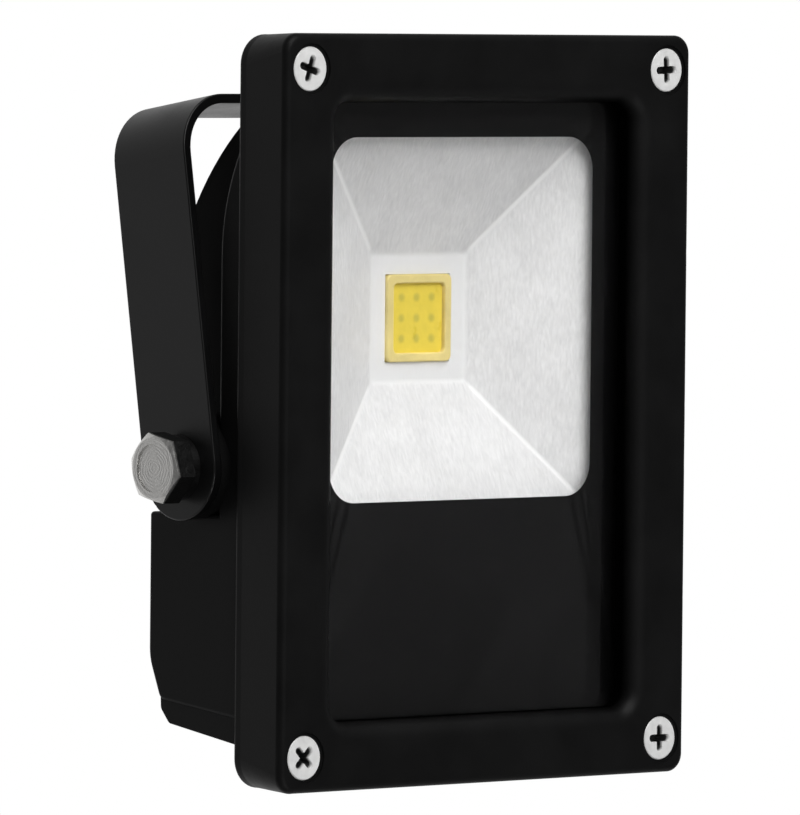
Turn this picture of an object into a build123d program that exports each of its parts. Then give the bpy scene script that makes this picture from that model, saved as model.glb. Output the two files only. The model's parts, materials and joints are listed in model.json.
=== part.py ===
"""Small LED floodlight on a tilting U bracket.

The bracket is the fixed piece. The origin is the centre of its mounting hole, on the outer face of the
crossbar, with +Z out of that face, X along the crossbar and -Y towards the side that the lamp shines to.
The head hangs from two bolts. Head pieces are drawn in the head's own axes, with the origin at the middle
of the front face, +Y into the head and +Z up, and are then moved to where the bolts hold them.
"""
from build123d import *
from math import asin, degrees, sqrt
import os

os.makedirs("parts", exist_ok=True)

# ---- Bracket -------------------------------------------------------------------------------------------
STRIP_W = 16.3            # width of the steel strip
STRIP_T = 1.5             # its thickness
BRACKET_W = 89.2          # over the outer faces of the arms
BRACKET_H = 56.5          # from the bolt axis to the outer face of the crossbar
BEND_R = 9.0              # outer radius of the two bends
STRIP_EDGE_R = 0.25       # rounding of the strip's long edges
CENTRE_HOLE_R = 4.25
SLOT_W = 5.5
SLOT_L = 10.0
SLOT_SPACING = 36.0
LEAN = 9.0                # angle between the bracket and the back of the head, in degrees

# ---- Bolts that the head turns on ----------------------------------------------------------------------
BOLT_Y = 21.8             # bolt axis, behind the front face
BOLT_Z = -8.8             # bolt axis, below the middle of the front face
BOLT_R = 3.0
BOLT_HEAD_AF = 9.8
BOLT_HEAD_T = 3.9
BOLT_HEAD_TURN = -12.0    # of the hexagon
BOLT_DISH_R = 3.7         # shallow dish in the face of the head
BOLT_DISH_T = 0.25
BOLT_CROWN = (1.0, 1.5)   # length and reach of the cone that rounds the head's corners
BOLT_CROWN_INSET = 0.25
BOLT_TIP = 0.6
BOLT_GRIP = 9.0           # thread in the boss
BOLT_HOLE_GAP = 1.0       # hole left past the end of the bolt
PIVOT_CLEARANCE = 0.07    # radial, between bolt and arm
WASHER_T = 1.4
WASHER_R = 5.0
WASHER_SPLIT = 0.9
WASHER_SPLIT_TURN = 20.0

# ---- Front frame ---------------------------------------------------------------------------------------
FRAME_W = 86.0
FRAME_H = 115.5
FRAME_D = 9.8
FRAME_DRAFT = (0.7, 0.3)  # how much each side and each end draws in towards the back
FRAME_CORNER_R = (2.6, 4.6)    # at the front face and at the back
FRAME_EDGE_R = 1.1
OPENING_W = 63.0
OPENING_H = 94.4
OPENING_CORNER_R = 3.0
OPENING_EDGE_R = 3.0
LIP_D = 4.2               # depth of the lip in front of the glass
REBATE_W = 70.2
REBATE_H = 101.4
REBATE_CORNER_R = 3.4
FRAME_WALL = 1.9
CHANNEL_Y = 3.0           # channels in the frame's back that keep its walls even
CHANNEL_GAP = 1.2
CHANNEL_CORNER_R = 1.2
SIDE_CHANNEL_L = 88.0
END_CHANNEL_L = 60.0

# ---- Screws of the frame -------------------------------------------------------------------------------
SCREW_X = 37.8
SCREW_Z = 52.3
SCREW_FACE = 0.3          # depth of the screw's face below the frame's face
SCREW_R = 1.75
SCREW_HEAD_R = 3.4
SCREW_HEAD_T = 2.0
SCREW_RIM_T = 0.25        # straight part of the head, above its cone
SCREW_L = 10.6
SCREW_EDGE = 0.15
SCREW_TIP = 0.6
CROSS_MOUTH = (4.4, 1.2)  # length and width of each arm of the cross recess at the face
CROSS_FLOOR = (1.9, 0.7)
CROSS_DEPTH = 1.7
SCREW_SINK_R = 3.9
SCREW_TURNS = {(-1, 1): 18, (1, 1): -3, (-1, -1): 45, (1, -1): 0}
POST_R = 3.1              # posts under the screws
POST_GAP = 0.15
THREAD_GAP = 0.05

# ---- Glass and seals -----------------------------------------------------------------------------------
SEAL_T = 0.4
GLASS_W = 69.6
GLASS_H = 100.8
GLASS_T = 3.0
GLASS_CORNER_R = 3.0
GLASS_EDGE = 0.3
PRINT_T = 0.05
PRINT_INSET = 0.3
WINDOW_W = 55.4
WINDOW_H = 56.0
WINDOW_Z = 13.8
WINDOW_CORNER_R = 5.2
GLASS_SEAL_GAP = 0.8      # between the lip's edge and the seal behind it
HOUSING_SEAL_W = 1.6

# ---- LED and reflector ---------------------------------------------------------------------------------
LED_Z = 13.6
LED_W = 20.0
LED_Y = 18.4              # front face of the LED base
LED_T = 1.6
LED_CORNER_R = 0.4
PAD_T = 0.3
RIM_W = 13.6
RIM_T = 1.2
RIM_CORNER_R = 1.0
RIM_EDGE_R = 0.3
POOL_W = 10.8
POOL_T = 0.4
POOL_CORNER_R = 0.8
DIE_W = 1.1
DIE_T = 0.2
DIE_PITCH = 3.2
REFLECTOR_W = 63.0
REFLECTOR_H = 65.0
REFLECTOR_Y = 17.8        # flat middle of the reflector
REFLECTOR_BASE = 19.6
REFLECTOR_HOLE = 13.7
REFLECTOR_FOLD_R = 1.5
SHEET_T = 0.5
RIM_FLANGE = 1.4          # strip round the reflector that stands on the flange
REFLECTOR_GAP = 0.2       # between the glass and the reflector

# ---- Housing -------------------------------------------------------------------------------------------
FLANGE_T = 1.8
FLANGE_EDGE_R = 0.8
BODY_W = 82.3             # tray and driver box
FINS_W = 76.0             # cooling fins
BACK_Y = 32.3             # rear face of the fins and the driver box
FIN_CURVE_R = 48.3
FIN_CURVE_Z = 6.9
TRAY_BACK = 16.8
TRAY_CURVE_R = 35.3
TRAY_CURVE_Z = 23.4
FIN_T = 2.0
FIN_COUNT = 11
FIN_ROOT = 22.7
BOX_TOP = -16.0
BOX_CORNER = -38.5        # where the box's back starts to curve in
BOX_CORNER_R = 8.0
BOX_SHOULDER = (29.75, -44.8)
BOX_SHOULDER_R = 1.5
BOX_EDGE_R = 0.6
BOX_FRONT_BOTTOM = -47.0
LIP_TOP = -40.0
LIP_INSET = 0.3
LIP_OUTLINE = ((29.7, -44.0), (29.6, -46.2), (27.7, -48.4))
LIP_CORNER_R = 1.2
LIP_FRONT_BOTTOM = -51.0
RIDGE_R = 0.9             # rounding of the tray's edges
BOSS_R = 8.0
BOSS_GAP = 0.1
CAVITY_W = 62.0           # opening in the flange, and the LED chamber
CHAMBER_W = 76.6          # driver chamber, behind the flange
WALL = 2.4
BOSS_L = 14.0
CAVITY_TOP = 44.0
CAVITY_SLOPE = 13.0       # height of the sloping wall behind the reflector
CHAMBER_CORNER = -38.2    # inner outline of the driver box
CHAMBER_SHOULDER = (27.7, -42.4)
CHAMBER_BOTTOM = -44.4
CHAMBER_STEP = 1.0        # wall left between the flange and the wide part of the chamber
POST_TOP_GAP = 0.2

# ---- Driver --------------------------------------------------------------------------------------------
BOARD_X = -9.5
BOARD_Z = -31.0
BOARD_W = 53.0
BOARD_H = 20.0
BOARD_T = 1.6
BOARD_CORNER_R = 0.8
STANDOFF_H = 2.4
STANDOFF_R = 2.6
STANDOFF_HOLE_L = 4.0
BOARD_SCREW_X = 23.0
BOARD_SCREW_R = 1.25
BOARD_SCREW_HEAD = (2.3, 1.6)              # radius and height
BOARD_SCREW_L = 3.5                        # below the board
BOARD_SCREW_CROSS = (2.4, 0.6, 0.9)        # length, width and depth of each arm
BOARD_HOLE_GAP = 0.2
SHEET_GAP = 0.05
INSULATION = (53.0, 14.0, 0.25)
INSULATION_Z = 1.0                         # above the board's middle
# Places on the board are measured from its middle
TRANSFORMER_X = 2.0
CORE = (12.6, 5.0, 11.6)                   # ferrite core: width, height, length
CORE_SLOT_X = 3.45
CORE_SLOT_W = 2.9
CORE_END_T = 2.0
WINDING = (9.6, 13.0, 7.4)
WINDING_HOLE = (4.1, 5.1)
WINDING_CORNER_R = 1.5
CAPACITORS = ((-12.0, 4.0, 4.0, 12.0), (-12.0, -5.0, 4.0, 12.0), (15.0, 4.6, 3.2, 11.0))
CAPACITOR_GROOVE = (1.2, 0.35, 0.5)        # distance from the end, depth and width
INDUCTOR_PLACE = (15.0, -4.8)
INDUCTOR_R = 3.4
INDUCTOR_WAIST_R = 2.7
INDUCTOR_L = 8.2
INDUCTOR_END_T = 1.2
FILM_CAPACITOR_PLACE = (-19.0, 6.6)
FILM_CAPACITOR = (4.6, 5.6, 8.0)
FUSE_PLACE = (-19.0, -6.4)
FUSE = (2.2, 7.0)                          # radius and length
SMALL_EDGE_R = 0.5
CHIPS = ((9.9, 8.2, 3.0, 2.4), (9.9, 0.0, 2.6, 3.2), (-5.8, 7.8, 2.6, 2.6))
CHIP_T = 1.5
TERMINAL_PLACE = (-6.4, -7.6)
TERMINAL = (2.6, 4.2, 6.5)
WIRE_R = 0.65
WIRE_BEND_R = 3.0
LEAD_TAB = (5.2, 3.0, 0.3)
LEAD_TAB_Y = 0.9                           # behind the front of the LED base

# ---- Cable gland ---------------------------------------------------------------------------------------
GLAND_X = 26.0
GLAND_Z = -30.0
GLAND_R = 6.0
GLAND_AF = 15.0
GLAND_BORE_R = 4.5
GLAND_TAIL_L = 5.0        # thread inside the box
GLAND_HEX_L = 4.5
GLAND_NECK_L = 7.0        # thread under the nut
GLAND_WASHER_T = 1.0
GLAND_HOLE_GAP = 0.1
LOCKNUT_T = 3.4
NUT_GAP = 0.2
NUT_HEX_L = 5.0
NUT_END_R = 5.1
NUT_END_L = 2.0           # past the end of the neck
NUT_EDGE_R = 0.8
CABLE_R = 3.25
CABLE_SEAL_L = 8.0

flange_w = FRAME_W - 2 * FRAME_DRAFT[0]
flange_h = FRAME_H - 2 * FRAME_DRAFT[1]
flange_back = FRAME_D + FLANGE_T
glass_front = LIP_D + SEAL_T
glass_back = glass_front + GLASS_T
floor_y = LED_Y + LED_T + PAD_T
arm_outer = BRACKET_W / 2
arm_inner = arm_outer - STRIP_T
box_wall = BACK_Y - WALL
board_back = box_wall - STANDOFF_H
board_front = board_back - BOARD_T
board_screws_x = (BOARD_X - BOARD_SCREW_X, BOARD_X + BOARD_SCREW_X)
corners = [(sx, sz) for sx in (-1, 1) for sz in (-1, 1)]
head_pose = Pos(0, 0, -BRACKET_H) * Rot(LEAN, 0, 0) * Pos(0, -BOLT_Y, -BOLT_Z)


def across(y, x=0, z=0):
    """Plane across the head at depth y, seen from the front; negative extrusions go towards the back."""
    return Plane(origin=(x, y, z), x_dir=(1, 0, 0), z_dir=(0, -1, 0))


def save(piece, name):
    piece.label = name
    export_step(piece, f"parts/{name}.step")


def save_head(piece, name):
    save(piece.moved(head_pose), name)


# ==== Bracket ===========================================================================================
with BuildPart() as bracket:
    with BuildSketch(Plane.XZ) as strip_profile:
        with Locations((0, -BRACKET_H / 2 - BRACKET_H / 4)):
            Rectangle(BRACKET_W, BRACKET_H * 1.5)
        fillet(strip_profile.vertices().group_by(Axis.Y)[-1], BEND_R)
        with Locations((0, -STRIP_T - BRACKET_H / 2 - BRACKET_H / 4)):
            RectangleRounded(BRACKET_W - 2 * STRIP_T, BRACKET_H * 1.5, BEND_R - STRIP_T, mode=Mode.SUBTRACT)
        with Locations((0, -BRACKET_H * 1.25)):
            Rectangle(BRACKET_W - 2 * STRIP_T, BRACKET_H, mode=Mode.SUBTRACT)
    extrude(amount=STRIP_W / 2, both=True)
    with BuildSketch(Plane.YZ):
        with Locations((0, -BRACKET_H / 2)):
            Rectangle(STRIP_W, BRACKET_H)
        with Locations((0, -BRACKET_H)):
            Circle(STRIP_W / 2)
    extrude(amount=BRACKET_W, both=True, mode=Mode.INTERSECT)
    fillet(bracket.edges().filter_by(lambda edge: edge.length > STRIP_T * 2), STRIP_EDGE_R)
    with BuildSketch(Plane.YZ):
        with Locations((0, -BRACKET_H)):
            Circle(BOLT_R + PIVOT_CLEARANCE)
    extrude(amount=BRACKET_W, both=True, mode=Mode.SUBTRACT)
    with BuildSketch(Plane.XY):
        Circle(CENTRE_HOLE_R)
        with Locations((-SLOT_SPACING / 2, 0), (SLOT_SPACING / 2, 0)):
            SlotOverall(SLOT_L, SLOT_W)
    extrude(amount=-2 * STRIP_T, mode=Mode.SUBTRACT)
save(bracket.part, "bracket")

# ==== Front frame =======================================================================================
with BuildPart() as front_frame:
    with BuildSketch(across(0)):
        RectangleRounded(FRAME_W, FRAME_H, FRAME_CORNER_R[0])
    with BuildSketch(across(FRAME_D)):
        RectangleRounded(flange_w, flange_h, FRAME_CORNER_R[1])
    loft(ruled=True)
    fillet(front_frame.faces().sort_by(Axis.Y)[0].edges(), FRAME_EDGE_R)
    with BuildSketch(across(0)):
        RectangleRounded(OPENING_W, OPENING_H, OPENING_CORNER_R)
    extrude(amount=-FRAME_D, mode=Mode.SUBTRACT)
    fillet(front_frame.faces().sort_by(Axis.Y)[0].inner_wires()[0].edges(), OPENING_EDGE_R)
    with BuildSketch(across(LIP_D)):
        RectangleRounded(REBATE_W, REBATE_H, REBATE_CORNER_R)
    extrude(amount=-FRAME_D, mode=Mode.SUBTRACT)
    side_channel = (REBATE_W / 2 + CHANNEL_GAP, flange_w / 2 - FRAME_WALL)
    end_channel = (REBATE_H / 2 + CHANNEL_GAP, flange_h / 2 - FRAME_WALL)
    with BuildSketch(across(CHANNEL_Y)):
        with Locations(*[(s * sum(side_channel) / 2, 0) for s in (-1, 1)]):
            RectangleRounded(side_channel[1] - side_channel[0], SIDE_CHANNEL_L, CHANNEL_CORNER_R)
        with Locations(*[(0, s * sum(end_channel) / 2) for s in (-1, 1)]):
            RectangleRounded(END_CHANNEL_L, end_channel[1] - end_channel[0], CHANNEL_CORNER_R)
    extrude(amount=-FRAME_D, mode=Mode.SUBTRACT)
    # Screw holes: sink for the head, cone, clearance hole and pocket for the housing's post
    with BuildSketch(across(0)):
        with Locations(*[(sx * SCREW_X, sz * SCREW_Z) for sx, sz in corners]):
            Circle(SCREW_SINK_R)
    extrude(amount=-SCREW_FACE, mode=Mode.SUBTRACT)
    for sx, sz in corners:
        with BuildSketch(across(SCREW_FACE, sx * SCREW_X, sz * SCREW_Z)):
            Circle(SCREW_HEAD_R + THREAD_GAP)
        extrude(amount=-SCREW_RIM_T, mode=Mode.SUBTRACT)
        with BuildSketch(across(SCREW_FACE + SCREW_RIM_T, sx * SCREW_X, sz * SCREW_Z)):
            Circle(SCREW_HEAD_R + THREAD_GAP)
        with BuildSketch(across(SCREW_FACE + SCREW_HEAD_T, sx * SCREW_X, sz * SCREW_Z)):
            Circle(SCREW_R + THREAD_GAP)
        loft(mode=Mode.SUBTRACT)
    with BuildSketch(across(0)):
        with Locations(*[(sx * SCREW_X, sz * SCREW_Z) for sx, sz in corners]):
            Circle(SCREW_R + THREAD_GAP)
    extrude(amount=-FRAME_D, mode=Mode.SUBTRACT)
    with BuildSketch(across(LIP_D)):
        with Locations(*[(sx * SCREW_X, sz * SCREW_Z) for sx, sz in corners]):
            Circle(POST_R + POST_GAP)
    extrude(amount=-FRAME_D, mode=Mode.SUBTRACT)
save_head(front_frame.part, "front_frame")

# ==== Frame screws ======================================================================================
with BuildPart() as frame_screw:
    with BuildSketch(Plane.XY):
        with BuildLine():
            Polyline(
                (0, 0), (SCREW_HEAD_R - SCREW_EDGE, 0), (SCREW_HEAD_R, SCREW_EDGE),
                (SCREW_HEAD_R, SCREW_RIM_T), (SCREW_R, SCREW_HEAD_T), (SCREW_R, SCREW_L - SCREW_TIP),
                (SCREW_R - SCREW_TIP, SCREW_L), (0, SCREW_L), (0, 0),
            )
        make_face()
    revolve(axis=Axis.Y)
    with BuildSketch(across(0)):
        SlotOverall(*CROSS_MOUTH)
        SlotOverall(*CROSS_MOUTH, rotation=90)
    with BuildSketch(across(CROSS_DEPTH)):
        SlotOverall(*CROSS_FLOOR)
        SlotOverall(*CROSS_FLOOR, rotation=90)
    loft(mode=Mode.SUBTRACT)
with BuildPart() as frame_screws:
    for (sx, sz), turn in SCREW_TURNS.items():
        add(frame_screw.part.moved(Pos(sx * SCREW_X, SCREW_FACE, sz * SCREW_Z) * Rot(0, turn, 0)))
save_head(frame_screws.part, "frame_screws")

# ==== Glass, its print and the two seals ================================================================
with BuildPart() as front_glass:
    with BuildSketch(across(glass_front)):
        RectangleRounded(GLASS_W, GLASS_H, GLASS_CORNER_R)
    extrude(amount=-GLASS_T)
    chamfer(front_glass.edges().group_by(Axis.Y)[0], GLASS_EDGE)
save_head(front_glass.part, "front_glass")

with BuildPart() as glass_print:
    with BuildSketch(across(glass_back)):
        RectangleRounded(GLASS_W - 2 * PRINT_INSET, GLASS_H - 2 * PRINT_INSET, GLASS_CORNER_R - PRINT_INSET)
        with Locations((0, WINDOW_Z)):
            RectangleRounded(WINDOW_W, WINDOW_H, WINDOW_CORNER_R, mode=Mode.SUBTRACT)
    extrude(amount=-PRINT_T)
save_head(glass_print.part, "glass_print")

with BuildPart() as glass_seal:
    with BuildSketch(across(LIP_D)):
        RectangleRounded(GLASS_W, GLASS_H, GLASS_CORNER_R)
        seal_hole = (OPENING_W + 2 * GLASS_SEAL_GAP, OPENING_H + 2 * GLASS_SEAL_GAP)
        RectangleRounded(*seal_hole, OPENING_CORNER_R, mode=Mode.SUBTRACT)
    extrude(amount=-SEAL_T)
save_head(glass_seal.part, "glass_seal")

with BuildPart() as housing_seal:
    with BuildSketch(across(glass_back + PRINT_T)):
        RectangleRounded(GLASS_W, GLASS_H, GLASS_CORNER_R)
        seal_hole = (GLASS_W - 2 * HOUSING_SEAL_W, GLASS_H - 2 * HOUSING_SEAL_W)
        RectangleRounded(*seal_hole, GLASS_CORNER_R - HOUSING_SEAL_W / 2, mode=Mode.SUBTRACT)
    extrude(amount=-(FRAME_D - glass_back - PRINT_T))
save_head(housing_seal.part, "housing_seal")

# ==== Housing ===========================================================================================
fin_curve_y = BACK_Y - FIN_CURVE_R
fin_angle = degrees(asin(sqrt(1 - ((flange_back - fin_curve_y) / FIN_CURVE_R) ** 2)))
tray_curve_y = TRAY_BACK - TRAY_CURVE_R
tray_angle = degrees(asin(sqrt(1 - ((flange_back - tray_curve_y) / TRAY_CURVE_R) ** 2)))
fin_gap = (FINS_W - FIN_COUNT * FIN_T) / (FIN_COUNT - 1)
boss_face = arm_inner - BOSS_GAP
box_middle = BOX_TOP - 4.0
chamber_front = flange_back + CHAMBER_STEP

with BuildPart() as housing:
    # Flange that the front frame closes on
    with BuildSketch(across(FRAME_D)):
        RectangleRounded(flange_w, flange_h, FRAME_CORNER_R[1])
    extrude(amount=-FLANGE_T)
    fillet(housing.edges().group_by(Axis.Y)[-1], FLANGE_EDGE_R)
    # Tray, wider than the fins, with its curved upper end
    with BuildSketch(Plane.YZ):
        with BuildLine():
            tray_curve = CenterArc((tray_curve_y, TRAY_CURVE_Z), TRAY_CURVE_R, 0, tray_angle)
            Polyline(
                tray_curve @ 1, (FRAME_D, (tray_curve @ 1).Y), (FRAME_D, box_middle),
                (TRAY_BACK, box_middle), tray_curve @ 0,
            )
        make_face()
    extrude(amount=BODY_W / 2, both=True)
    ridge = housing.edges().filter_by(lambda edge: edge.center().Y > flange_back + 1)
    fillet(ridge.filter_by(lambda edge: abs(abs(edge.center().X) - BODY_W / 2) < 0.01), RIDGE_R)
    # Solid block that the fins are cut from
    with BuildSketch(Plane.YZ):
        with BuildLine():
            fin_curve = CenterArc((fin_curve_y, FIN_CURVE_Z), FIN_CURVE_R, 0, fin_angle)
            Polyline(
                fin_curve @ 1, (FRAME_D, (fin_curve @ 1).Y), (FRAME_D, box_middle),
                (BACK_Y, box_middle), fin_curve @ 0,
            )
        make_face()
    extrude(amount=FINS_W / 2, both=True)
    # Driver box at the lower back, with a slightly narrower lip under it
    with BuildSketch(Plane.YZ):
        with BuildLine():
            Polyline(
                (FRAME_D, BOX_TOP), (BACK_Y, BOX_TOP), (BACK_Y, BOX_CORNER), BOX_SHOULDER,
                (flange_back, BOX_FRONT_BOTTOM), (FRAME_D, BOX_FRONT_BOTTOM), (FRAME_D, BOX_TOP),
            )
        make_face()
        fillet(vertices().sort_by_distance((BACK_Y, BOX_CORNER))[0], BOX_CORNER_R)
        fillet(vertices().sort_by_distance(BOX_SHOULDER)[0], BOX_SHOULDER_R)
    extrude(amount=BODY_W / 2, both=True)
    box_sides = housing.faces().filter_by(lambda f: abs(abs(f.center().X) - BODY_W / 2) < 0.01)
    box_sides = box_sides.filter_by(lambda f: f.center().Z < BOX_TOP)
    rim_edges = box_sides.edges().filter_by(lambda edge: edge.center().Y > TRAY_BACK + 0.5)
    back_top = housing.edges().filter_by(Axis.X).filter_by(
        lambda edge: abs(edge.center().Y - BACK_Y) < 0.01 and abs(edge.center().Z - BOX_TOP) < 0.01)
    fillet(rim_edges + back_top, BOX_EDGE_R)
    with BuildSketch(Plane.YZ):
        with BuildLine():
            Polyline(
                (FRAME_D, LIP_TOP), (LIP_OUTLINE[0][0], LIP_TOP), *LIP_OUTLINE,
                (flange_back, LIP_FRONT_BOTTOM), (FRAME_D, LIP_FRONT_BOTTOM), (FRAME_D, LIP_TOP),
            )
        make_face()
        fillet([vertices().sort_by_distance(point)[0] for point in LIP_OUTLINE[1:]], LIP_CORNER_R)
    extrude(amount=BODY_W / 2 - LIP_INSET, both=True)
    # Gaps between the fins
    with BuildSketch(across(FIN_ROOT)):
        for index in range(FIN_COUNT - 1):
            with Locations(((index - (FIN_COUNT - 2) / 2) * (FIN_T + fin_gap), BOX_TOP + FRAME_H / 2)):
                Rectangle(fin_gap, FRAME_H)
    extrude(amount=-BACK_Y, mode=Mode.SUBTRACT)
    # Bosses for the two bolts
    for side in (-1, 1):
        with BuildSketch(Plane.YZ.offset(side * (boss_face - BOSS_L))):
            with Locations((BOLT_Y, BOLT_Z)):
                Circle(BOSS_R)
        extrude(amount=side * BOSS_L)
    # LED chamber, with a top wall that follows the reflector
    with BuildSketch(Plane.YZ):
        with BuildLine():
            Polyline(
                (0, CAVITY_TOP), (FRAME_D, CAVITY_TOP), (floor_y, CAVITY_TOP - CAVITY_SLOPE),
                (floor_y, BOX_TOP - WALL), (0, BOX_TOP - WALL), (0, CAVITY_TOP),
            )
        make_face()
    extrude(amount=CAVITY_W / 2, both=True, mode=Mode.SUBTRACT)
    # Driver chamber, wide behind the flange and narrow through it
    with BuildSketch(Plane.YZ):
        with BuildLine():
            Polyline(
                (chamber_front, BOX_TOP - WALL), (box_wall, BOX_TOP - WALL), (box_wall, CHAMBER_CORNER),
                CHAMBER_SHOULDER, (chamber_front, CHAMBER_BOTTOM), (chamber_front, BOX_TOP - WALL),
            )
        make_face()
    extrude(amount=CHAMBER_W / 2, both=True, mode=Mode.SUBTRACT)
    with BuildSketch(across(0)):
        with Locations((0, (BOX_TOP - WALL + CHAMBER_BOTTOM) / 2)):
            Rectangle(CAVITY_W, BOX_TOP - WALL - CHAMBER_BOTTOM)
    extrude(amount=-chamber_front, mode=Mode.SUBTRACT)
    # Posts for the frame screws
    with BuildSketch(across(FRAME_D)):
        with Locations(*[(sx * SCREW_X, sz * SCREW_Z) for sx, sz in corners]):
            Circle(POST_R)
    extrude(amount=FRAME_D - LIP_D - POST_TOP_GAP)
    with BuildSketch(across(0)):
        with Locations(*[(sx * SCREW_X, sz * SCREW_Z) for sx, sz in corners]):
            Circle(SCREW_R + THREAD_GAP)
    extrude(amount=-(SCREW_FACE + SCREW_L + 2 * THREAD_GAP), mode=Mode.SUBTRACT)
    # Standoffs for the board
    with BuildSketch(across(box_wall + WALL / 2)):
        with Locations(*[(x, BOARD_Z) for x in board_screws_x]):
            Circle(STANDOFF_R)
    extrude(amount=STANDOFF_H + WALL / 2)
    with BuildSketch(across(board_back)):
        with Locations(*[(x, BOARD_Z) for x in board_screws_x]):
            Circle(BOARD_SCREW_R + THREAD_GAP)
    extrude(amount=-STANDOFF_HOLE_L, mode=Mode.SUBTRACT)
    # Hole for the cable gland
    with BuildSketch(across(box_wall, GLAND_X, GLAND_Z)):
        Circle(GLAND_R + GLAND_HOLE_GAP)
    extrude(amount=-WALL, mode=Mode.SUBTRACT)
    # Threads for the two bolts
    for side in (-1, 1):
        with BuildSketch(Plane.YZ.offset(side * boss_face)):
            with Locations((BOLT_Y, BOLT_Z)):
                Circle(BOLT_R + THREAD_GAP)
        extrude(amount=-side * (BOLT_GRIP + BOLT_HOLE_GAP), mode=Mode.SUBTRACT)
save_head(housing.part, "housing")

# ==== Bolts and spring washers ==========================================================================
washer_face = arm_outer + WASHER_T
bolt_face = washer_face + BOLT_HEAD_T
with BuildPart() as bracket_bolt:
    with BuildSketch(Plane.YZ.offset(washer_face)):
        RegularPolygon(BOLT_HEAD_AF / 2, 6, major_radius=False, rotation=BOLT_HEAD_TURN)
    extrude(amount=BOLT_HEAD_T)
    with BuildSketch(Plane.XY):
        with BuildLine():
            Polyline(
                (washer_face, 0), (washer_face, BOLT_HEAD_AF),
                (bolt_face - BOLT_CROWN[0], BOLT_HEAD_AF / 2 + BOLT_CROWN[1]),
                (bolt_face, BOLT_HEAD_AF / 2 - BOLT_CROWN_INSET), (bolt_face, 0), (washer_face, 0),
            )
        make_face()
    revolve(axis=Axis.X, mode=Mode.INTERSECT)
    with BuildSketch(Plane.YZ.offset(bolt_face)):
        Circle(BOLT_DISH_R)
    extrude(amount=-BOLT_DISH_T, mode=Mode.SUBTRACT)
    with BuildSketch(Plane.YZ.offset(boss_face - BOLT_GRIP)):
        Circle(BOLT_R)
    extrude(amount=washer_face - boss_face + BOLT_GRIP)
    chamfer(bracket_bolt.edges().group_by(Axis.X)[0], BOLT_TIP)
with BuildPart() as bracket_bolts:
    add(bracket_bolt.part.moved(Pos(0, BOLT_Y, BOLT_Z)))
    add(bracket_bolt.part.rotate(Axis.Z, 180).moved(Pos(0, BOLT_Y, BOLT_Z)))
save_head(bracket_bolts.part, "bracket_bolts")

with BuildPart() as spring_washer:
    with BuildSketch(Plane.YZ.offset(arm_outer)):
        Circle(WASHER_R)
        Circle(BOLT_R + THREAD_GAP, mode=Mode.SUBTRACT)
        with Locations((0, WASHER_R)):
            Rectangle(WASHER_SPLIT, WASHER_R, rotation=WASHER_SPLIT_TURN, mode=Mode.SUBTRACT)
    extrude(amount=WASHER_T)
with BuildPart() as spring_washers:
    add(spring_washer.part.moved(Pos(0, BOLT_Y, BOLT_Z)))
    add(spring_washer.part.rotate(Axis.Z, 180).moved(Pos(0, BOLT_Y, BOLT_Z)))
save_head(spring_washers.part, "spring_washers")

# ==== LED ===============================================================================================
die_places = [(i * DIE_PITCH, j * DIE_PITCH) for i in (-1, 0, 1) for j in (-1, 0, 1)]

with BuildPart() as led_base:
    with BuildSketch(across(LED_Y, 0, LED_Z)):
        RectangleRounded(LED_W, LED_W, LED_CORNER_R)
    extrude(amount=-LED_T)
save_head(led_base.part, "led_base")

with BuildPart() as led_rim:
    with BuildSketch(across(LED_Y, 0, LED_Z)):
        RectangleRounded(RIM_W, RIM_W, RIM_CORNER_R)
        RectangleRounded(POOL_W, POOL_W, POOL_CORNER_R, mode=Mode.SUBTRACT)
    extrude(amount=RIM_T)
    fillet(led_rim.edges().group_by(Axis.Y)[0], RIM_EDGE_R)
save_head(led_rim.part, "led_rim")

with BuildPart() as led_phosphor:
    with BuildSketch(across(LED_Y, 0, LED_Z)):
        RectangleRounded(POOL_W, POOL_W, POOL_CORNER_R)
    extrude(amount=POOL_T)
    with BuildSketch(across(LED_Y, 0, LED_Z)):
        with Locations(*die_places):
            Rectangle(DIE_W, DIE_W)
    extrude(amount=DIE_T, mode=Mode.SUBTRACT)
save_head(led_phosphor.part, "led_phosphor")

with BuildPart() as led_dies:
    with BuildSketch(across(LED_Y, 0, LED_Z)):
        with Locations(*die_places):
            Rectangle(DIE_W, DIE_W)
    extrude(amount=DIE_T)
save_head(led_dies.part, "led_dies")

with BuildPart() as thermal_pad:
    with BuildSketch(across(LED_Y + LED_T, 0, LED_Z)):
        Rectangle(LED_W, LED_W)
    extrude(amount=-PAD_T)
save_head(thermal_pad.part, "thermal_pad")

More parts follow.
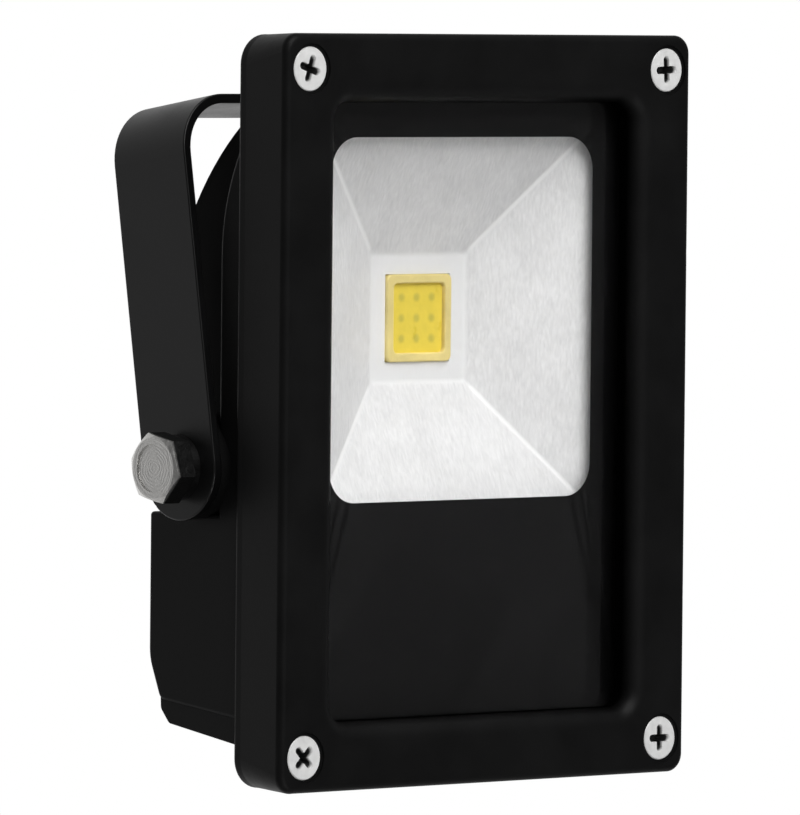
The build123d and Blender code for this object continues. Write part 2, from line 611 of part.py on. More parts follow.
# ==== Reflector =========================================================================================
reflector_front = glass_back + REFLECTOR_GAP
flange_outer = (REFLECTOR_W + 2 * RIM_FLANGE, REFLECTOR_H + 2 * RIM_FLANGE)
flange_inner = (flange_outer[0] - 2 * SHEET_T, flange_outer[1] - 2 * SHEET_T)
with BuildPart() as reflector_space:
    with BuildSketch(across(reflector_front, 0, LED_Z)):
        Rectangle(REFLECTOR_W, REFLECTOR_H)
    with BuildSketch(across(REFLECTOR_Y, 0, LED_Z)):
        Rectangle(REFLECTOR_BASE, REFLECTOR_BASE)
    loft(ruled=True)
    folds = reflector_space.edges().filter_by(lambda edge: edge.center().Y > reflector_front + SHEET_T)
    fillet(folds, REFLECTOR_FOLD_R)
with BuildPart() as reflector:
    with BuildSketch(across(reflector_front, 0, LED_Z)):
        Rectangle(REFLECTOR_W + 2 * SHEET_T, REFLECTOR_H + 2 * SHEET_T)
    with BuildSketch(across(REFLECTOR_Y + SHEET_T, 0, LED_Z)):
        Rectangle(REFLECTOR_BASE + 2 * SHEET_T, REFLECTOR_BASE + 2 * SHEET_T)
    loft(ruled=True)
    with BuildSketch(across(reflector_front, 0, LED_Z)):
        Rectangle(*flange_outer)
    extrude(amount=-SHEET_T)
    with BuildSketch(across(reflector_front, 0, LED_Z)):
        Rectangle(*flange_outer)
        Rectangle(*flange_inner, mode=Mode.SUBTRACT)
    extrude(amount=-(FRAME_D - reflector_front))
    add(reflector_space.part, mode=Mode.SUBTRACT)
    with BuildSketch(across(reflector_front, 0, LED_Z)):
        Rectangle(REFLECTOR_HOLE, REFLECTOR_HOLE)
    extrude(amount=-LED_Y, mode=Mode.SUBTRACT)
save_head(reflector.part, "reflector")

# ==== Driver board and what is on it ====================================================================
with BuildPart() as driver_board:
    with BuildSketch(across(board_back, BOARD_X, BOARD_Z)):
        RectangleRounded(BOARD_W, BOARD_H, BOARD_CORNER_R)
        with Locations((-BOARD_SCREW_X, 0), (BOARD_SCREW_X, 0)):
            Circle(BOARD_SCREW_R + BOARD_HOLE_GAP, mode=Mode.SUBTRACT)
    extrude(amount=BOARD_T)
save_head(driver_board.part, "driver_board")

with BuildPart() as board_screws:
    for x in board_screws_x:
        with BuildSketch(across(board_front, x, BOARD_Z)):
            Circle(BOARD_SCREW_HEAD[0])
        extrude(amount=BOARD_SCREW_HEAD[1])
        with BuildSketch(across(board_front, x, BOARD_Z)):
            Circle(BOARD_SCREW_R)
        extrude(amount=-(BOARD_T + BOARD_SCREW_L))
        with BuildSketch(across(board_front - BOARD_SCREW_HEAD[1], x, BOARD_Z)):
            SlotOverall(*BOARD_SCREW_CROSS[:2])
            SlotOverall(*BOARD_SCREW_CROSS[:2], rotation=90)
        extrude(amount=-BOARD_SCREW_CROSS[2], mode=Mode.SUBTRACT)
save_head(board_screws.part, "board_screws")

with BuildPart() as insulation_sheet:
    with BuildSketch(across(box_wall - SHEET_GAP, BOARD_X, BOARD_Z + INSULATION_Z)):
        Rectangle(INSULATION[0], INSULATION[1])
        with Locations((-BOARD_SCREW_X, -INSULATION_Z), (BOARD_SCREW_X, -INSULATION_Z)):
            Circle(STANDOFF_R + BOARD_HOLE_GAP, mode=Mode.SUBTRACT)
    extrude(amount=INSULATION[2])
save_head(insulation_sheet.part, "insulation_sheet")


def on_board(x, z, height=0):
    """Plane parallel to the board, height above its front; x and z from the board's middle."""
    return across(board_front - height, BOARD_X + x, BOARD_Z + z)


with BuildPart() as transformer_core:
    with BuildSketch(on_board(TRANSFORMER_X, 0)):
        Rectangle(CORE[0], CORE[1])
        with Locations((-CORE_SLOT_X, 0), (CORE_SLOT_X, 0)):
            Rectangle(CORE_SLOT_W, CORE[1], mode=Mode.SUBTRACT)
    extrude(amount=CORE[2])
    for height in (0, CORE[2] - CORE_END_T):
        with BuildSketch(on_board(TRANSFORMER_X, 0, height)):
            Rectangle(CORE[0], CORE[1])
        extrude(amount=CORE_END_T)
save_head(transformer_core.part, "transformer_core")

with BuildPart() as driver_transformer:
    with BuildSketch(on_board(TRANSFORMER_X, 0, CORE_END_T + SHEET_GAP)):
        RectangleRounded(WINDING[0], WINDING[1], WINDING_CORNER_R)
        Rectangle(*WINDING_HOLE, mode=Mode.SUBTRACT)
    extrude(amount=WINDING[2])
save_head(driver_transformer.part, "driver_transformer")

with BuildPart() as driver_capacitors:
    groove_place, groove_depth, groove_w = CAPACITOR_GROOVE
    for x, z, radius, height in CAPACITORS:
        with BuildSketch(on_board(x, z)):
            Circle(radius)
        extrude(amount=height)
        with BuildSketch(on_board(x, z, height - groove_place)):
            Circle(radius + groove_w)
            Circle(radius - groove_depth, mode=Mode.SUBTRACT)
        extrude(amount=-groove_w, mode=Mode.SUBTRACT)
save_head(driver_capacitors.part, "driver_capacitors")

with BuildPart() as driver_inductor:
    with BuildSketch(on_board(*INDUCTOR_PLACE)):
        Circle(INDUCTOR_WAIST_R)
    extrude(amount=INDUCTOR_L)
    for height in (0, INDUCTOR_L - INDUCTOR_END_T):
        with BuildSketch(on_board(*INDUCTOR_PLACE, height)):
            Circle(INDUCTOR_R)
        extrude(amount=INDUCTOR_END_T)
save_head(driver_inductor.part, "driver_inductor")

with BuildPart() as film_capacitor:
    with BuildSketch(on_board(*FILM_CAPACITOR_PLACE)):
        RectangleRounded(FILM_CAPACITOR[0], FILM_CAPACITOR[1], SMALL_EDGE_R)
    extrude(amount=FILM_CAPACITOR[2])
save_head(film_capacitor.part, "film_capacitor")

with BuildPart() as driver_fuse:
    with BuildSketch(on_board(*FUSE_PLACE)):
        Circle(FUSE[0])
    extrude(amount=FUSE[1])
    fillet(driver_fuse.edges().group_by(Axis.Y)[0], SMALL_EDGE_R)
save_head(driver_fuse.part, "driver_fuse")

with BuildPart() as driver_chips:
    for x, z, width, height in CHIPS:
        with BuildSketch(on_board(x, z)):
            Rectangle(width, height)
        extrude(amount=CHIP_T)
save_head(driver_chips.part, "driver_chips")

with BuildPart() as supply_terminal:
    with BuildSketch(on_board(*TERMINAL_PLACE)):
        Rectangle(TERMINAL[0], TERMINAL[1])
    extrude(amount=TERMINAL[2])
save_head(supply_terminal.part, "supply_terminal")

# ==== Wires from the driver to the LED ==================================================================
tab_y = LED_Y + LEAD_TAB_Y
wire_y = tab_y - WIRE_R - SHEET_GAP / 2
wire_routes = {
    "lead_red": (
        (13.4, wire_y, LED_Z), (13.6, wire_y, -2.0), (15.4, wire_y, -15.0), (15.4, 19.6, -21.0),
        (15.4, board_front - 0.5, -24.0),
    ),
    "lead_black": (
        (-13.4, wire_y, LED_Z), (-13.4, wire_y, -4.0), (-9.0, wire_y, -14.0), (4.0, wire_y, -19.4),
        (11.4, 19.4, -20.6), (11.4, board_front - 0.5, -24.0),
    ),
}
for name, points in wire_routes.items():
    with BuildPart() as lead:
        with BuildLine():
            route = FilletPolyline(*points, radius=WIRE_BEND_R)
        with BuildSketch(Plane(origin=route @ 0, z_dir=route % 0)):
            Circle(WIRE_R)
        sweep()
    save_head(lead.part, name)

with BuildPart() as led_leads:
    for side in (-1, 1):
        with BuildSketch(across(tab_y, side * (LED_W + LEAD_TAB[0]) / 2, LED_Z)):
            Rectangle(LEAD_TAB[0], LEAD_TAB[1])
        extrude(amount=-LEAD_TAB[2])
save_head(led_leads.part, "led_leads")

# ==== Cable gland =======================================================================================
def round_gland(y):
    """Plane across the gland at depth y."""
    return across(y, GLAND_X, GLAND_Z)


gland_shoulder = BACK_Y + GLAND_WASHER_T
gland_inner_end = box_wall - GLAND_TAIL_L
neck_start = gland_shoulder + GLAND_HEX_L
neck_end = neck_start + GLAND_NECK_L
nut_start = neck_start + NUT_GAP
nut_end = neck_end + NUT_END_L

with BuildPart() as gland_washer:
    with BuildSketch(round_gland(BACK_Y)):
        Circle(GLAND_AF / 2)
        Circle(GLAND_R + THREAD_GAP, mode=Mode.SUBTRACT)
    extrude(amount=-GLAND_WASHER_T)
save_head(gland_washer.part, "gland_washer")

with BuildPart() as gland_body:
    with BuildSketch(round_gland(gland_shoulder)):
        RegularPolygon(GLAND_AF / 2, 6, major_radius=False)
    extrude(amount=-GLAND_HEX_L)
    with BuildSketch(round_gland(gland_inner_end)):
        Circle(GLAND_R)
    extrude(amount=-(neck_end - gland_inner_end))
    with BuildSketch(round_gland(gland_inner_end)):
        Circle(GLAND_BORE_R)
    extrude(amount=-(neck_end - gland_inner_end), mode=Mode.SUBTRACT)
save_head(gland_body.part, "gland_body")

with BuildPart() as gland_locknut:
    with BuildSketch(round_gland(box_wall)):
        RegularPolygon(GLAND_AF / 2, 6, major_radius=False)
        Circle(GLAND_R + THREAD_GAP, mode=Mode.SUBTRACT)
    extrude(amount=LOCKNUT_T)
save_head(gland_locknut.part, "gland_locknut")

with BuildPart() as gland_seal:
    with BuildSketch(round_gland(neck_end - CABLE_SEAL_L)):
        Circle(GLAND_BORE_R - THREAD_GAP)
        Circle(CABLE_R, mode=Mode.SUBTRACT)
    extrude(amount=-CABLE_SEAL_L)
save_head(gland_seal.part, "gland_seal")

with BuildPart() as gland_nut:
    with BuildSketch(round_gland(nut_start)):
        RegularPolygon(GLAND_AF / 2, 6, major_radius=False)
    extrude(amount=-NUT_HEX_L)
    with BuildSketch(round_gland(nut_start + NUT_HEX_L)):
        Circle(GLAND_AF / 2 - NUT_GAP)
    with BuildSketch(round_gland(nut_end)):
        Circle(NUT_END_R)
    loft()
    fillet(gland_nut.edges().group_by(Axis.Y)[-1], NUT_EDGE_R)
    with BuildSketch(round_gland(nut_start)):
        Circle(GLAND_R + THREAD_GAP)
    extrude(amount=-(neck_end + NUT_GAP - nut_start), mode=Mode.SUBTRACT)
    with BuildSketch(round_gland(nut_start)):
        Circle(CABLE_R + NUT_GAP)
    extrude(amount=-(nut_end - nut_start), mode=Mode.SUBTRACT)
save_head(gland_nut.part, "gland_nut")
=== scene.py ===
"""Looks of the small LED floodlight: finishes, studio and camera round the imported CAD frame."""

import json
import math

import bpy
from mathutils import Matrix, Vector


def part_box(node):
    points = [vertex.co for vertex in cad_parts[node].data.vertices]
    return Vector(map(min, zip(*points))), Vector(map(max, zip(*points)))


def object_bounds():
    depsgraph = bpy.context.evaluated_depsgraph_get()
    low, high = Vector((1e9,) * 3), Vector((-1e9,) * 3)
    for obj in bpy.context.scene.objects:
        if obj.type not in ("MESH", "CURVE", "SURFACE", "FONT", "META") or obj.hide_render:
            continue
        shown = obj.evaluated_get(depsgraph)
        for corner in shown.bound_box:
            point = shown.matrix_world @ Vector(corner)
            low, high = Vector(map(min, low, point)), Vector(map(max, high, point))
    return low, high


MM = 0.001
CHIP_PITCH = 3.2 * MM                   # spacing of the LED chips
SHEET_FLAT = 19.6 * MM                  # side of the reflector's flat middle
SHEET_HALF = (31.5 * MM, 32.5 * MM)     # from the middle to the reflector's front edges
RECESS_HALF = (37 * MM, 52 * MM)        # from the middle of the frame to past its recess, the reach of the painted shade
RECESS_SHADE_DEPTH = (0.8 * MM, 2.6 * MM)     # below the frame's face, where the painted shade on the recess walls sets in
DRIVE_SHADE_DEPTH = (0.12 * MM, 0.5 * MM)     # below a screw's face, where the painted shade in its drive recess sets in
BOLT_FACE = (0.9 * MM, 0.4 * MM)        # from the bolt's end, where the painted shade on its sides gives way to its face
RING_PITCH = 0.55 * MM                  # of the turned rings on the bolt's face

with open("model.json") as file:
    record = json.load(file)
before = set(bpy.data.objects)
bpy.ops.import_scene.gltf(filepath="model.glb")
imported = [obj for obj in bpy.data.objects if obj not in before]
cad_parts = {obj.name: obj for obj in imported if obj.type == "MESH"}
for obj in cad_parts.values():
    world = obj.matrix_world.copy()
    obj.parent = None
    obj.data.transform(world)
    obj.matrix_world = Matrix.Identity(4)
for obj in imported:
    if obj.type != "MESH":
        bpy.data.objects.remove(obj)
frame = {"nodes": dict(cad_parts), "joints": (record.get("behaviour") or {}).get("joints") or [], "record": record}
cad_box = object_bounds()

record = frame["record"]
nodes = frame["nodes"]
tilt = frame["joints"][0]
hinge = Vector(tilt["pos_m"])
# The head's back is parallel to the bracket at the joint's lower limit, and leans from it at rest.
lean = math.radians(-tilt["range_deg"][0])
head_turn = Matrix.Rotation(lean, 3, "X")


def in_head(point):
    """A point of the row frame in the head's axes, measured from the bolt axis."""
    return head_turn.inverted() @ (Vector(point) - hinge)


def to_row(point):
    """A point given in the head's axes, in metres from the bolt axis, in the row frame."""
    return hinge + head_turn @ Vector(point)


# ---- Node helpers ------------------------------------------------------------------------------
def add(tree, kind, inputs=None, **settings):
    """A new shader node. An input takes a value, or the socket that feeds it."""
    made = tree.nodes.new(kind)
    for name, value in settings.items():
        setattr(made, name, value)
    for key, value in (inputs or {}).items():
        if isinstance(value, bpy.types.NodeSocket):
            tree.links.new(value, made.inputs[key])
        else:
            made.inputs[key].default_value = value
    return made


def math_node(tree, operation, *values):
    """The result of an operation on values, each a number or a socket."""
    return add(tree, "ShaderNodeMath", dict(enumerate(values)), operation=operation).outputs[0]


def blank(name, colour, roughness, metallic=0.0):
    """A new material with one plain shader: the material, its tree and the shader."""
    material = bpy.data.materials.new(name)
    material.use_nodes = True
    shader = material.node_tree.nodes["Principled BSDF"]
    shader.inputs["Base Color"].default_value = (*colour, 1)
    shader.inputs["Roughness"].default_value = roughness
    shader.inputs["Metallic"].default_value = metallic
    return material, material.node_tree, shader


def head_axes(tree):
    """Position in metres in the head's own axes, measured from the bolt axis, at rest."""
    place = add(tree, "ShaderNodeTexCoord")
    turned = add(
        tree, "ShaderNodeMapping",
        {"Vector": place.outputs["Object"], "Location": hinge, "Rotation": (lean, 0, 0)},
        vector_type="TEXTURE",
    )
    return turned.outputs[0]


def middle_of(node):
    """The middle of a node's box, in the head's axes."""
    low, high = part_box(node)
    return in_head((low + high) / 2)


def front_of(node):
    """How far back a node's foremost point lies, in the head's axes."""
    return min(in_head(vertex.co).y for vertex in nodes[node].data.vertices)


def measured_from(tree, place, centre):
    """place, measured from centre, as a node with an output for each axis."""
    offset = add(tree, "ShaderNodeVectorMath", {0: place, 1: centre}, operation="SUBTRACT")
    return add(tree, "ShaderNodeSeparateXYZ", {0: offset.outputs[0]})


def noise(tree, place, size, stretch=(1, 1, 1), detail=3.0, rough=0.5):
    """Noise from 0 to 1 whose blotches are about size metres across, made longer by stretch."""
    sized = add(
        tree, "ShaderNodeMapping",
        {"Vector": place, "Scale": [1 / (size * s) for s in stretch]},
    )
    made = add(
        tree, "ShaderNodeTexNoise",
        {"Vector": sized.outputs[0], "Scale": 1.0, "Detail": detail, "Roughness": rough},
    )
    return made.outputs["Fac"]


def spread(tree, value, low, high, start=0.3, end=0.7):
    """value, usually from start to end, spread over low to high."""
    made = add(
        tree, "ShaderNodeMapRange",
        {"Value": value, "From Min": start, "From Max": end, "To Min": low, "To Max": high},
    )
    return made.outputs[0]


def mix(tree, value, first, second):
    """From first to second as value goes from 0 to 1. Each is a colour with alpha, or a socket."""
    return add(tree, "ShaderNodeMix", {0: value, 6: first, 7: second}, data_type="RGBA").outputs[2]


def tint(tree, value, first, second):
    """A colour that runs from first to second as value goes from 0 to 1."""
    return mix(tree, value, (*first, 1), (*second, 1))


def relief(tree, shader, height, depth):
    """Raises the surface by depth metres where height is 1."""
    made = add(tree, "ShaderNodeBump", {"Height": height, "Distance": depth, "Strength": 1.0})
    tree.links.new(made.outputs[0], shader.inputs["Normal"])


def vary_gloss(tree, shader, value, roughness, by):
    """Roughness that follows a noise, up to by on both sides of roughness."""
    varied = spread(tree, value, roughness - by, roughness + by)
    tree.links.new(varied, shader.inputs["Roughness"])


def scaled(colour, factor):
    """The colour made lighter or darker."""
    return tuple(c * factor for c in colour)


# ---- Finishes ----------------------------------------------------------------------------------
def paint(name, colour, roughness, specular, grain, depth, shade=None):
    """Powder-coated black paint: fine grain and soft cloudy differences in gloss. shade, given the tree and the
    place on the head, tells from 0 to 1 where painted shade makes the paint blacker and takes away its specular."""
    material, tree, shader = blank(name, colour, roughness)
    shader.inputs["Specular IOR Level"].default_value = specular
    place = head_axes(tree)
    fine = noise(tree, place, grain, detail=2.0)
    cloud = noise(tree, place, 9 * MM, detail=4.0)
    gloss = math_node(
        tree, "ADD", spread(tree, cloud, -0.05, 0.05), spread(tree, fine, -0.03, 0.03))
    tree.links.new(math_node(tree, "ADD", gloss, roughness), shader.inputs["Roughness"])
    coat = tint(tree, spread(tree, cloud, 0, 1), scaled(colour, 0.85), scaled(colour, 1.2))
    # Painted shade: on the recess walls the colour falls to a tenth and the specular to 0, standing in for the
    # shade there.
    if shade:
        painted_shade_mask = shade(tree, place)
        coat = mix(tree, painted_shade_mask, coat, (*scaled(colour, 0.1), 1))
        tree.links.new(spread(tree, painted_shade_mask, specular, 0.0, 0, 1), shader.inputs["Specular IOR Level"])
    tree.links.new(coat, shader.inputs["Base Color"])
    relief(tree, shader, fine, depth)
    return material


def recess_painted_shade(tree, place):
    """Where the frame gets painted shade: 1 on the walls of the recess in front of the glass, 0 on the rest of the
    frame.
    """
    centre = middle_of("front_frame")
    face = front_of("front_frame") - centre.y
    parts = measured_from(tree, place, centre)
    painted_shade_mask = spread(tree, parts.outputs["Y"], 0, 1, *(face + depth for depth in RECESS_SHADE_DEPTH))
    for axis, reach in zip("XZ", RECESS_HALF):
        distance = math_node(tree, "ABSOLUTE", parts.outputs[axis])
        inside = spread(tree, distance, 1, 0, reach, reach + 1 * MM)
        painted_shade_mask = math_node(tree, "MULTIPLY", painted_shade_mask, inside)
    return painted_shade_mask


def moulded(name, colour, roughness, grain=0.35 * MM, depth=0.02 * MM, specular=0.5):
    """Moulded plastic, rubber or dipped resin with a fine matte skin."""
    material, tree, shader = blank(name, colour, roughness)
    shader.inputs["Specular IOR Level"].default_value = specular
    place = head_axes(tree)
    skin = noise(tree, place, grain, detail=2.0)
    cloud = noise(tree, place, 5 * MM, detail=3.0)
    vary_gloss(tree, shader, cloud, roughness, 0.05)
    tree.links.new(tint(tree, spread(tree, cloud, 0, 1), scaled(colour, 0.88), scaled(colour, 1.1)),
                   shader.inputs["Base Color"])
    relief(tree, shader, skin, depth)
    return material


def metal(name, colour, roughness):
    """Bare or plated metal: fine marks and a faint mottle."""
    material, tree, shader = blank(name, colour, roughness, metallic=1.0)
    place = head_axes(tree)
    marks = noise(tree, place, 0.2 * MM, detail=2.0)
    cloud = noise(tree, place, 3 * MM, detail=4.0)
    vary_gloss(tree, shader, marks, roughness, 0.06)
    tree.links.new(tint(tree, spread(tree, cloud, 0, 1), scaled(colour, 0.9), colour),
                   shader.inputs["Base Color"])
    relief(tree, shader, marks, 0.01 * MM)
    return material


def screw_metal(name, colour, roughness):
    """Plated screws, with painted shade that darkens the drive recess to near black."""
    material, tree, shader = blank(name, colour, roughness, metallic=0.1)
    place = head_axes(tree)
    marks = noise(tree, place, 0.3 * MM, detail=3.0)
    cloud = noise(tree, place, 1.6 * MM, detail=4.0)
    face = front_of("frame_screws")
    behind = add(tree, "ShaderNodeSeparateXYZ", {0: place}).outputs["Y"]
    drive_shade = spread(tree, behind, 0, 1, *(face + depth for depth in DRIVE_SHADE_DEPTH))
    plating = tint(tree, spread(tree, cloud, 0, 1), scaled(colour, 0.86), colour)
    # Painted shade: the drive recess is darkened by its depth below the screw's face.
    plated = mix(tree, drive_shade, plating, (0.012, 0.012, 0.012, 1))
    tree.links.new(plated, shader.inputs["Base Color"])
    vary_gloss(tree, shader, marks, roughness, 0.08)
    relief(tree, shader, marks, 0.03 * MM)
    return material


def bolt_metal(name, colour, painted_shade_colour, roughness):
    """Plated bolt with fine turned rings on its face, and painted shade that darkens its sides."""
    material, tree, shader = blank(name, colour, roughness, metallic=0.9)
    place = add(tree, "ShaderNodeTexCoord").outputs["Object"]
    offset = add(
        tree, "ShaderNodeVectorMath", {0: place, 1: hinge}, operation="SUBTRACT",
    ).outputs[0]
    along = add(tree, "ShaderNodeSeparateXYZ", {0: offset}).outputs["X"]
    across = add(
        tree, "ShaderNodeVectorMath", {0: offset, 1: (1, 0, 0)}, operation="CROSS_PRODUCT",
    ).outputs[0]
    radius = add(tree, "ShaderNodeVectorMath", {0: across}, operation="LENGTH").outputs["Value"]
    wobble = noise(tree, place, 1.2 * MM, detail=3.0)
    rings = math_node(tree, "SINE", math_node(
        tree, "MULTIPLY_ADD", radius, 2 * math.pi / RING_PITCH, spread(tree, wobble, 0, 5)))
    height = math_node(tree, "MULTIPLY_ADD", rings, 0.5, noise(tree, place, 0.3 * MM, detail=3.0))
    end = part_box("bracket_bolts")[1].x
    out = math_node(tree, "ABSOLUTE", along)
    face = spread(tree, out, 0, 1, *(end - depth for depth in BOLT_FACE))
    plating = tint(tree, spread(tree, wobble, 0, 1), scaled(colour, 0.85), colour)
    # Painted shade: the bolt's sides get the dark colour, its face the plating.
    tree.links.new(mix(tree, face, (*painted_shade_colour, 1), plating), shader.inputs["Base Color"])
    vary_gloss(tree, shader, wobble, roughness, 0.08)
    relief(tree, shader, height, 0.02 * MM)
    return material


def glass(name):
    """Polished glass. Light from the lamps passes straight through it to what lies behind."""
    material, tree, shader = blank(name, (0.985, 0.985, 0.985), 0.0)
    shader.inputs["Transmission Weight"].default_value = 1.0
    shader.inputs["IOR"].default_value = 1.5
    clear = add(tree, "ShaderNodeBsdfTransparent", {"Color": (0.96, 0.96, 0.96, 1)})
    path = add(tree, "ShaderNodeLightPath")
    mixed = add(
        tree, "ShaderNodeMixShader",
        {0: path.outputs["Is Shadow Ray"], 1: shader.outputs[0], 2: clear.outputs[0]},
    )
    tree.links.new(mixed.outputs[0], tree.nodes["Material Output"].inputs["Surface"])
    return material


def brushed(name, colour, roughness):
    """Satin aluminium sheet: a short, fine grain that runs up and down, and painted highlights along its folds and
    on its flat middle.
    """
    material, tree, shader = blank(name, colour, roughness, metallic=0.15)
    place = head_axes(tree)
    grain = noise(tree, place, 0.35 * MM, (1, 4, 4), detail=4.0, rough=0.7)
    weave = noise(tree, place, 0.6 * MM, (1, 2.5, 2.5), detail=2.0)
    cloud = noise(tree, place, 7 * MM, detail=3.0)
    both = math_node(tree, "MULTIPLY_ADD", weave, 0.6, grain)
    vary_gloss(tree, shader, grain, roughness, 0.08)
    shade = math_node(
        tree, "MULTIPLY_ADD", spread(tree, grain, 0, 1), 0.7, spread(tree, cloud, 0, 0.3))
    sheet = tint(tree, shade, scaled(colour, 0.74), scaled(colour, 0.98))
    # How far out a point is, from 0 at the flat middle's edge to 1 at the front edge, both ways.
    # The folds run out from the middle's corners, where the two are equal.
    parts = measured_from(tree, place, middle_of("led_rim"))
    run = []
    for axis, reach in zip("XZ", SHEET_HALF):
        distance = math_node(tree, "ABSOLUTE", parts.outputs[axis])
        run.append(spread(tree, distance, 0, 1, SHEET_FLAT / 2, reach))
    apart = math_node(tree, "ABSOLUTE", math_node(tree, "SUBTRACT", *run))
    on_slope = spread(tree, math_node(tree, "MINIMUM", *run), 0, 1, 0.0, 0.05)
    # Painted highlights: the folds and the flat middle are mixed towards white, standing in for the light they
    # catch.
    fold = math_node(tree, "MULTIPLY", spread(tree, apart, 1, 0, 0.008, 0.035), on_slope)
    flat = spread(tree, math_node(tree, "MAXIMUM", *run), 0.75, 0, 0.0, 0.03)
    painted_highlight = math_node(tree, "MAXIMUM", fold, flat)
    tree.links.new(mix(tree, painted_highlight, sheet, (1, 1, 1, 1)), shader.inputs["Base Color"])
    relief(tree, shader, both, 0.03 * MM)
    return material


def phosphor(name, colour, dot_colour, roughness):
    """Yellow silicone over a square grid of chips, which show through as soft darker dots."""
    material, tree, shader = blank(name, colour, roughness)
    place = head_axes(tree)
    parts = measured_from(tree, place, middle_of("led_dies"))
    squares = []
    for axis in "XZ":
        turns = math_node(tree, "DIVIDE", parts.outputs[axis], CHIP_PITCH)
        part = math_node(tree, "SUBTRACT", turns, math_node(tree, "ROUND", turns))
        squares.append(math_node(tree, "MULTIPLY", part, part))
    away = math_node(tree, "SQRT", math_node(tree, "ADD", *squares))
    dot = spread(tree, away, 1.0, 0.0, 0.1, 0.28)
    cloud = noise(tree, place, 1.5 * MM, detail=3.0)
    base = tint(tree, spread(tree, cloud, 0, 1), scaled(colour, 0.94), colour)
    dotted = mix(tree, math_node(tree, "MULTIPLY", dot, 0.55), base, (*dot_colour, 1))
    tree.links.new(dotted, shader.inputs["Base Color"])
    vary_gloss(tree, shader, cloud, roughness, 0.05)
    height = math_node(tree, "MULTIPLY_ADD", dot, 0.6, noise(tree, place, 0.6 * MM))
    relief(tree, shader, height, 0.03 * MM)
    return material


# Colour, roughness, specular level, grain and relief of the castings' paint
CASTING_PAINT = ((0.0068, 0.0068, 0.0069), 0.45, 0.12, 0.35 * MM, 0.012 * MM)
# By the record's material slot
FINISHES = {
    "clear_glass": glass("clear_glass"),
    "black_print": moulded(
        "black_print", (0.0075, 0.0075, 0.0077), 0.5, depth=0.002 * MM, specular=0.1),
    "silicone": moulded("silicone", (0.012, 0.012, 0.012), 0.7),
    "satin_aluminium": brushed("satin_aluminium", (0.97, 0.97, 0.972), 0.5),
    "led_metal": metal("led_metal", (0.93, 0.93, 0.93), 0.5),
    "tinned_copper": metal("tinned_copper", (0.78, 0.77, 0.74), 0.35),
    "led_plastic": moulded("led_plastic", (0.86, 0.71, 0.28), 0.45),
    "phosphor": phosphor("phosphor", (0.94, 0.74, 0.09), (0.5, 0.44, 0.09), 0.32),
    "led_chip": moulded("led_chip", (0.62, 0.5, 0.1), 0.3),
    "grey_silicone": moulded("grey_silicone", (0.5, 0.51, 0.53), 0.6),
    "board_green": moulded("board_green", (0.02, 0.12, 0.045), 0.3),
    "sheet_plastic": moulded("sheet_plastic", (0.7, 0.66, 0.5), 0.5),
    "ferrite": moulded("ferrite", (0.03, 0.03, 0.033), 0.6, grain=0.2 * MM, depth=0.04 * MM),
    "winding_tape": moulded("winding_tape", (0.7, 0.55, 0.06), 0.4),
    "capacitor_sleeve": moulded("capacitor_sleeve", (0.01, 0.014, 0.045), 0.25),
    "film_blue": moulded("film_blue", (0.03, 0.08, 0.33), 0.3),
    "chip_black": moulded("chip_black", (0.01, 0.01, 0.01), 0.55),
    "terminal_green": moulded("terminal_green", (0.02, 0.16, 0.06), 0.45),
    "wire_red": moulded("wire_red", (0.45, 0.015, 0.01), 0.4),
    "wire_black": moulded("wire_black", (0.01, 0.01, 0.01), 0.4),
    "black_plastic": moulded("black_plastic", (0.008, 0.008, 0.0085), 0.5, grain=0.5 * MM),
    "black_paint": paint("black_paint", (0.0035, 0.0035, 0.0037), 0.38, 0.42, 0.3 * MM, 0.008 * MM),
    "painted_casting": paint("painted_casting", *CASTING_PAINT),
    "zinc_steel": screw_metal("zinc_steel", (0.98, 0.98, 0.97), 0.36),
    "dark_steel": metal("dark_steel", (0.09, 0.09, 0.09), 0.4),
}
# Nodes with a finish of their own
BY_NODE = {
    # The frame's paint carries painted shade on the walls of its recess.
    "front_frame": paint("frame_paint_and_recess_shade", *CASTING_PAINT, recess_painted_shade),
    # The second colour is the painted shade on the bolt's sides.
    "bracket_bolts": bolt_metal("bolt_zinc", (0.8, 0.79, 0.77), (0.05, 0.05, 0.05), 0.36),
}

for part in record["subparts"]:
    finish = BY_NODE.get(part["node"]) or FINISHES[part["material_slot"]]
    body = nodes[part["node"]]
    body.data.materials.clear()
    body.data.materials.append(finish)

# ---- Studio ------------------------------------------------------------------------------------
world = bpy.data.worlds.new("studio")
bpy.context.scene.world = world
world.use_nodes = True
tree = world.node_tree
tree.nodes.clear()
direction = add(tree, "ShaderNodeTexCoord").outputs["Generated"]
# The camera sees plain white. The object is lit by a room that is white behind it and dimmer round
# to the front, and by some light from the pale ground.
AWAY = Vector((0.3, 0.95, 0.0)).normalized()
ROOM_FALLOFF = 3.5
ROOM_LEVEL = (0.05, 0.95)       # everywhere, and what the backdrop's side adds
GROUND_LEVEL = 0.2
GROUND_SINE = (0.35, 0.75)      # of the angles below level between which the ground's light sets in
facing = add(
    tree, "ShaderNodeVectorMath", {0: direction, 1: AWAY}, operation="DOT_PRODUCT",
).outputs["Value"]
falloff = math_node(tree, "POWER", spread(tree, facing, 0, 1, -1, 1), ROOM_FALLOFF)
upward = add(tree, "ShaderNodeSeparateXYZ", {0: direction}).outputs["Z"]
downward = math_node(tree, "MULTIPLY", upward, -1.0)
ground = spread(tree, downward, 0, GROUND_LEVEL, *GROUND_SINE)
level = math_node(
    tree, "ADD", math_node(tree, "MULTIPLY_ADD", falloff, ROOM_LEVEL[1], ROOM_LEVEL[0]), ground)
room = add(tree, "ShaderNodeBackground", {"Strength": level})
backdrop = add(tree, "ShaderNodeBackground", {"Strength": 1.0})
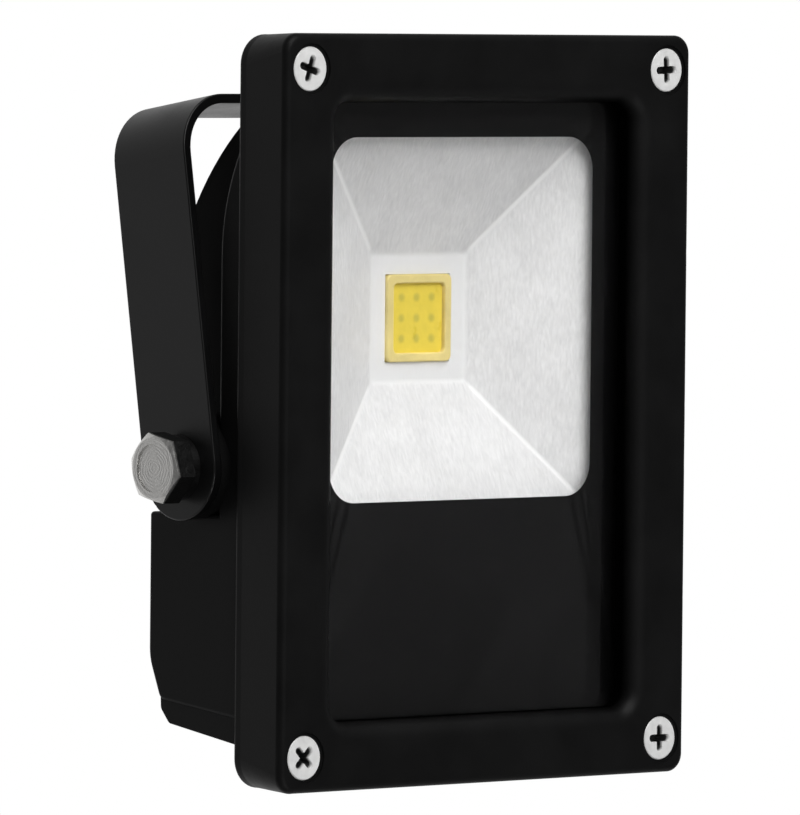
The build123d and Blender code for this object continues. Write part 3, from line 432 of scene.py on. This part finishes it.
for background in (room, backdrop):
    background.inputs["Color"].default_value = (1, 1, 1, 1)
seen = add(tree, "ShaderNodeLightPath").outputs["Is Camera Ray"]
mixed = add(tree, "ShaderNodeMixShader", {0: seen, 1: room.outputs[0], 2: backdrop.outputs[0]})
add(tree, "ShaderNodeOutputWorld", {"Surface": mixed.outputs[0]})

middle = (cad_box[0] + cad_box[1]) / 2


def softbox(name, place, size, power):
    """A square soft light at place from the middle of the object, in metres, and pointing at it."""
    data = bpy.data.lights.new(name, "AREA")
    data.shape = "SQUARE"
    data.size = size
    data.energy = power
    lamp = bpy.data.objects.new(name, data)
    bpy.context.scene.collection.objects.link(lamp)
    lamp.location = middle + Vector(place)
    lamp.rotation_mode = "QUATERNION"
    lamp.rotation_quaternion = (-Vector(place)).to_track_quat("-Z", "Y")
    lamp.visible_camera = False


softbox("key", (-0.1, -1.1, 0.8), 1.1, 14.5)
softbox("fill", (-0.1, -0.9, -0.8), 0.8, 8.0)

# The floor is seen from above only. It is kept out of reflections and of what the glass shows.
FLOOR_Z = -0.27
FLOOR_REACH = 12.0
corners = [
    (x * FLOOR_REACH, y * FLOOR_REACH, FLOOR_Z) for x, y in ((-1, -1), (1, -1), (1, 1), (-1, 1))]
floor_mesh = bpy.data.meshes.new("floor")
floor_mesh.from_pydata(corners, [], [(0, 1, 2, 3)])
floor = bpy.data.objects.new("floor", floor_mesh)
bpy.context.scene.collection.objects.link(floor)
floor_finish, tree, shader = blank("floor", (0.86, 0.86, 0.86), 0.7)
clear = add(tree, "ShaderNodeBsdfTransparent")
side = add(tree, "ShaderNodeNewGeometry").outputs["Backfacing"]
mixed = add(tree, "ShaderNodeMixShader", {0: side, 1: shader.outputs[0], 2: clear.outputs[0]})
tree.links.new(mixed.outputs[0], tree.nodes["Material Output"].inputs["Surface"])
floor_mesh.materials.append(floor_finish)
floor.visible_glossy = False
floor.visible_transmission = False

# ---- Camera ------------------------------------------------------------------------------------
YAW = math.radians(43.081)              # all three in the head's axes
PITCH = math.radians(2.2055)
ROLL = math.radians(0.5536)
AIM = (-0.01885, -0.0218, 0.0094158)    # from the bolt axis
DISTANCE = 1.61492
LENS_MM = 466.8
SENSOR_MM = 36.0

ahead = Vector((math.sin(YAW) * math.cos(PITCH), math.cos(YAW) * math.cos(PITCH), -math.sin(PITCH)))
right = Vector((math.cos(YAW), -math.sin(YAW), 0))
up = right.cross(ahead)
rolled_right = math.cos(ROLL) * right + math.sin(ROLL) * up
rolled_up = math.cos(ROLL) * up - math.sin(ROLL) * right
turn = head_turn @ Matrix((rolled_right, rolled_up, -ahead)).transposed()

lens = bpy.data.cameras.new("camera")
lens.lens = LENS_MM
lens.sensor_width = SENSOR_MM
lens.clip_start, lens.clip_end = 0.05, 20.0
camera = bpy.data.objects.new("camera", lens)
bpy.context.scene.collection.objects.link(camera)
camera.matrix_world = Matrix.Translation(to_row(AIM) - head_turn @ ahead * DISTANCE) @ turn.to_4x4()
bpy.context.scene.camera = camera
bpy.context.scene.view_settings.view_transform = "Standard"

bpy.context.view_layer.update()
